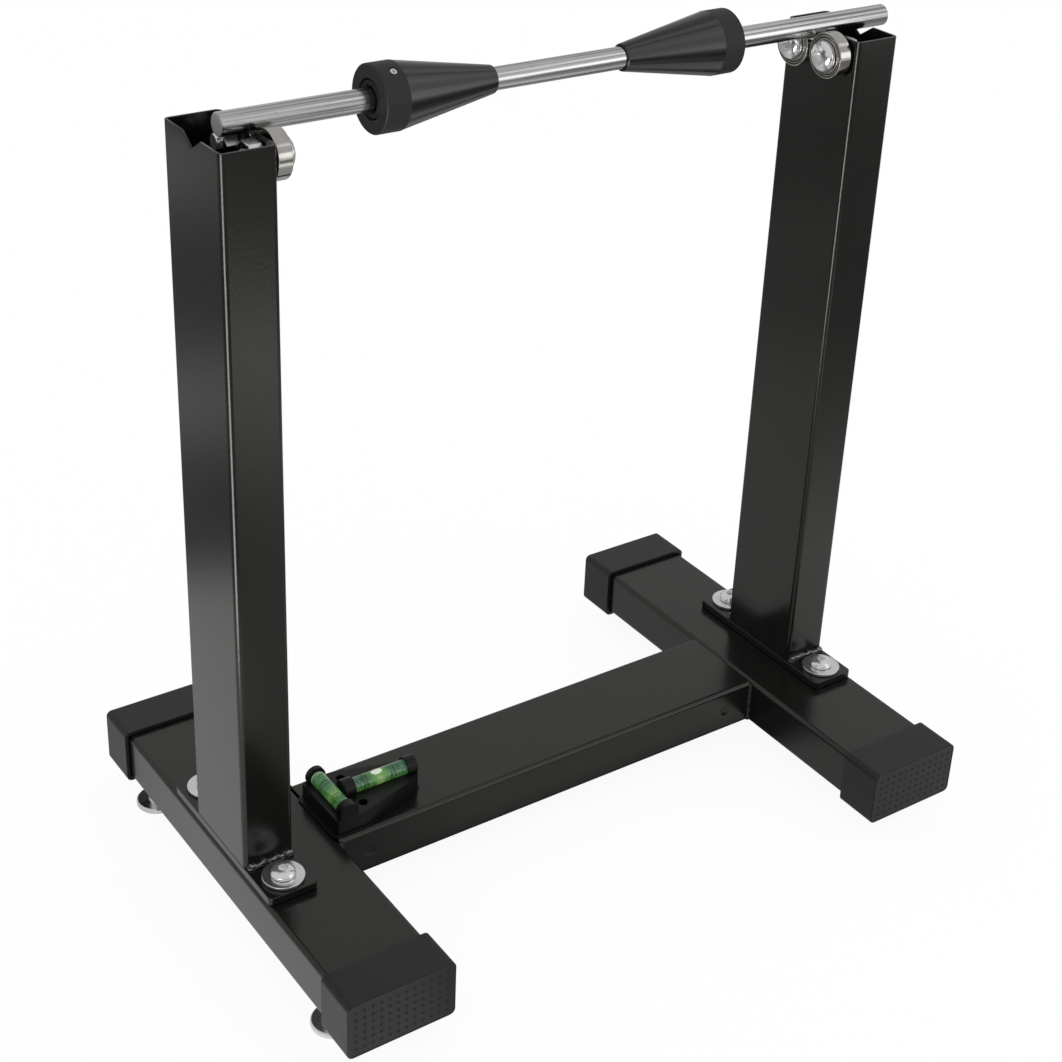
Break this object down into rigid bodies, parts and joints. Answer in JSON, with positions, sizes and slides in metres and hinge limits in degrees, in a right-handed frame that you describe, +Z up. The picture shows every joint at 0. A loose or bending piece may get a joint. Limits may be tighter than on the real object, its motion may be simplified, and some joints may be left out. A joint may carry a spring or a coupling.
{
  "type": "motorcycle wheel balancer",
  "caption": "Bench stand that balances motorcycle wheels on a free-rolling axle with sliding centring cones.",
  "frame": {"origin": "on the floor under the levelling feet, in the middle of the whole part's box seen from above", "axes": "+Z up, +X along the axle towards its longer free end, -Y the front, where the picture is taken from"},
  "size_m": [0.439, 0.2994, 0.4832],
  "materials": {
    "black_paint": "satin black powder coat with a fine even texture",
    "black_plastic": "matte black moulded plastic",
    "black_anodised": "turned aluminium, anodised black, satin",
    "rubber": "matte black rubber",
    "axle_steel": "drawn bright steel bar, fine lengthwise streaks",
    "bearing_steel": "ground bearing steel, slightly warm grey",
    "screw_steel": "polished stainless steel",
    "zinc_plate": "bright zinc plate",
    "vial": "clear plastic vial with green fluid"
  },
  "bodies": {
    "frame": {"base_plate_left": "black_paint", "base_plate_right": "black_paint", "bearing_bolt_left_front": "screw_steel", "bearing_bolt_left_rear": "screw_steel", "bearing_bolt_right_front": "screw_steel", "bearing_bolt_right_rear": "screw_steel", "bearing_inner_ring_left_front": "bearing_steel", "bearing_inner_ring_left_rear": "bearing_steel", "bearing_inner_ring_right_front": "bearing_steel", "bearing_inner_ring_right_rear": "bearing_steel", "bearing_nut_left_front": "zinc_plate", "bearing_nut_left_rear": "zinc_plate", "bearing_nut_right_front": "zinc_plate", "bearing_nut_right_rear": "zinc_plate", "bearing_spacer_left_front": "zinc_plate", "bearing_spacer_left_rear": "zinc_plate", "bearing_spacer_right_front": "zinc_plate", "bearing_spacer_right_rear": "zinc_plate", "connecting_tube": "black_paint", "end_cap_left_front": "black_plastic", "end_cap_left_rear": "black_plastic", "end_cap_right_front": "black_plastic", "end_cap_right_rear": "black_plastic", "foot_tube_left": "black_paint", "foot_tube_right": "black_paint", "level_housing": "black_plastic", "level_vial_cross": "vial", "level_vial_long": "vial", "plate_screw_left_front": "screw_steel", "plate_screw_left_rear": "screw_steel", "plate_screw_right_front": "screw_steel", "plate_screw_right_rear": "screw_steel", "plate_washer_left_front": "zinc_plate", "plate_washer_left_rear": "zinc_plate", "plate_washer_right_front": "zinc_plate", "plate_washer_right_rear": "zinc_plate", "upright_left": "black_paint", "upright_right": "black_paint"},
    "axle": {"axle": "axle_steel"},
    "left_cone": {"cone_left": "black_anodised", "rubber_ring_left": "rubber", "grub_screw_left": "screw_steel"},
    "right_cone": {"cone_right": "black_anodised", "rubber_ring_right": "rubber", "grub_screw_right": "screw_steel"},
    "left_front_bearing_ring": {"bearing_outer_ring_left_front": "bearing_steel"},
    "left_front_ball_cage": {"ball_cage_left_front": "screw_steel"},
    "left_front_levelling_foot": {"levelling_foot_left_front": "zinc_plate"},
    "left_rear_bearing_ring": {"bearing_outer_ring_left_rear": "bearing_steel"},
    "left_rear_ball_cage": {"ball_cage_left_rear": "screw_steel"},
    "left_rear_levelling_foot": {"levelling_foot_left_rear": "zinc_plate"},
    "right_front_bearing_ring": {"bearing_outer_ring_right_front": "bearing_steel"},
    "right_front_ball_cage": {"ball_cage_right_front": "screw_steel"},
    "right_front_levelling_foot": {"levelling_foot_right_front": "zinc_plate"},
    "right_rear_bearing_ring": {"bearing_outer_ring_right_rear": "bearing_steel"},
    "right_rear_ball_cage": {"ball_cage_right_rear": "screw_steel"},
    "right_rear_levelling_foot": {"levelling_foot_right_rear": "zinc_plate"}
  },
  "joints": [
    {"name": "axle_spin", "type": "hinge", "parent": "frame", "child": "axle", "pos_m": [-0.00545, 0, 0.46559], "axis": [1, 0, 0], "continuous": true},
    {"name": "left_cone_slide", "type": "slide", "parent": "axle", "child": "left_cone", "axis": [1, 0, 0], "range_m": [-0.049, 0.042]},
    {"name": "right_cone_slide", "type": "slide", "parent": "axle", "child": "right_cone", "axis": [-1, 0, 0], "range_m": [-0.055, 0.036]},
    {"name": "left_front_bearing_ring_spin", "type": "hinge", "parent": "frame", "child": "left_front_bearing_ring", "pos_m": [-0.18025, -0.0139, 0.4522], "axis": [1, 0, 0], "continuous": true},
    {"name": "left_front_ball_cage_spin", "type": "hinge", "parent": "frame", "child": "left_front_ball_cage", "pos_m": [-0.18025, -0.0139, 0.4522], "axis": [1, 0, 0], "continuous": true},
    {"name": "left_front_foot_height", "type": "slide", "parent": "frame", "child": "left_front_levelling_foot", "axis": [0, 0, 1], "range_m": [-0.006, 0.009]},
    {"name": "left_rear_bearing_ring_spin", "type": "hinge", "parent": "frame", "child": "left_rear_bearing_ring", "pos_m": [-0.18025, 0.0139, 0.4522], "axis": [1, 0, 0], "continuous": true},
    {"name": "left_rear_ball_cage_spin", "type": "hinge", "parent": "frame", "child": "left_rear_ball_cage", "pos_m": [-0.18025, 0.0139, 0.4522], "axis": [1, 0, 0], "continuous": true},
    {"name": "left_rear_foot_height", "type": "slide", "parent": "frame", "child": "left_rear_levelling_foot", "axis": [0, 0, 1], "range_m": [-0.006, 0.009]},
    {"name": "right_front_bearing_ring_spin", "type": "hinge", "parent": "frame", "child": "right_front_bearing_ring", "pos_m": [0.16935, -0.0139, 0.4522], "axis": [1, 0, 0], "continuous": true},
    {"name": "right_front_ball_cage_spin", "type": "hinge", "parent": "frame", "child": "right_front_ball_cage", "pos_m": [0.16935, -0.0139, 0.4522], "axis": [1, 0, 0], "continuous": true},
    {"name": "right_front_foot_height", "type": "slide", "parent": "frame", "child": "right_front_levelling_foot", "axis": [0, 0, 1], "range_m": [-0.006, 0.009]},
    {"name": "right_rear_bearing_ring_spin", "type": "hinge", "parent": "frame", "child": "right_rear_bearing_ring", "pos_m": [0.16935, 0.0139, 0.4522], "axis": [1, 0, 0], "continuous": true},
    {"name": "right_rear_ball_cage_spin", "type": "hinge", "parent": "frame", "child": "right_rear_ball_cage", "pos_m": [0.16935, 0.0139, 0.4522], "axis": [1, 0, 0], "continuous": true},
    {"name": "right_rear_foot_height", "type": "slide", "parent": "frame", "child": "right_rear_levelling_foot", "axis": [0, 0, 1], "range_m": [-0.006, 0.009]}
  ],
  "couplings": [
    {"joint": "left_front_bearing_ring_spin", "follows": "axle_spin", "ratio": -0.46154},
    {"joint": "left_front_ball_cage_spin", "follows": "axle_spin", "ratio": -0.29231},
    {"joint": "left_rear_bearing_ring_spin", "follows": "axle_spin", "ratio": -0.46154},
    {"joint": "left_rear_ball_cage_spin", "follows": "axle_spin", "ratio": -0.29231},
    {"joint": "right_front_bearing_ring_spin", "follows": "axle_spin", "ratio": -0.46154},
    {"joint": "right_front_ball_cage_spin", "follows": "axle_spin", "ratio": -0.29231},
    {"joint": "right_rear_bearing_ring_spin", "follows": "axle_spin", "ratio": -0.46154},
    {"joint": "right_rear_ball_cage_spin", "follows": "axle_spin", "ratio": -0.29231}
  ]
}
